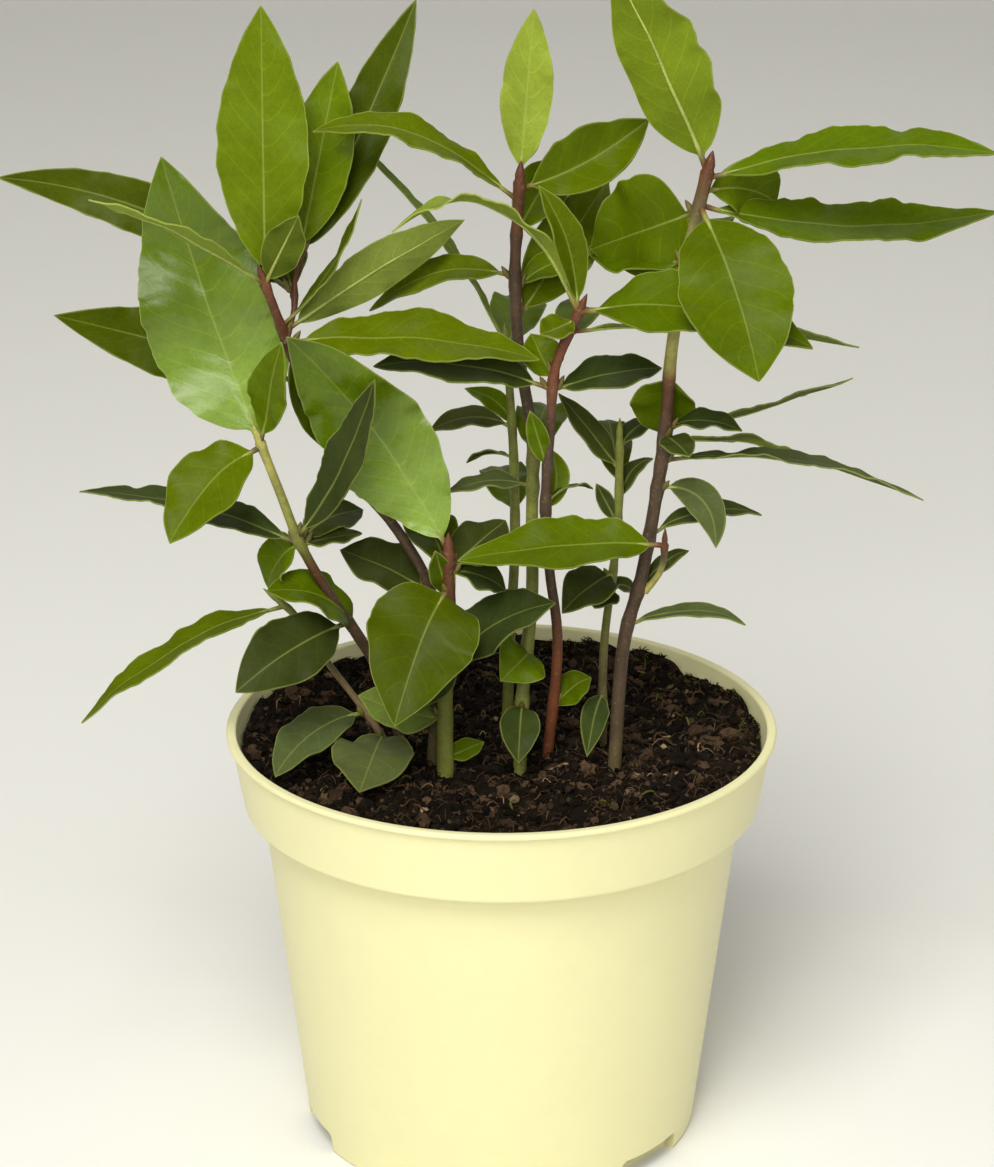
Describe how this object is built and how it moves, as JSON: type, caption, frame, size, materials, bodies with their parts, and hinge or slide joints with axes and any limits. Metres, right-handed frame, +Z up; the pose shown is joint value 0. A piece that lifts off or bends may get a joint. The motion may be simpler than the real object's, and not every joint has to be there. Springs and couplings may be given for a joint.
{
  "type": "potted bay laurel",
  "caption": "Young bay laurel in a round plastic nursery pot: leafy upright stems with pointed, gently waved leaves, growing from dark compost.",
  "frame": {"origin": "centre of the pot's flat base, on the surface it stands on", "axes": "+Z up along the pot's axis, +X to the plant's right as seen from the front, -Y towards the viewer"},
  "size_m": [0.2246, 0.13, 0.2842],
  "materials": {
    "pot_plastic": "satin",
    "compost": "rough",
    "bay_leaf": "satin"
  },
  "bodies": {
    "root": {"pot": "pot_plastic", "soil": "compost", "left_low_branch": "bay_leaf", "left_tall_branch": "bay_leaf", "short_glossy_branch": "bay_leaf", "centre_tall_branch": "bay_leaf", "centre_red_branch": "bay_leaf", "centre_green_branch": "bay_leaf", "right_thick_branch": "bay_leaf", "right_small_branch": "bay_leaf", "front_low_twig": "bay_leaf"}
  },
  "joints": []
}
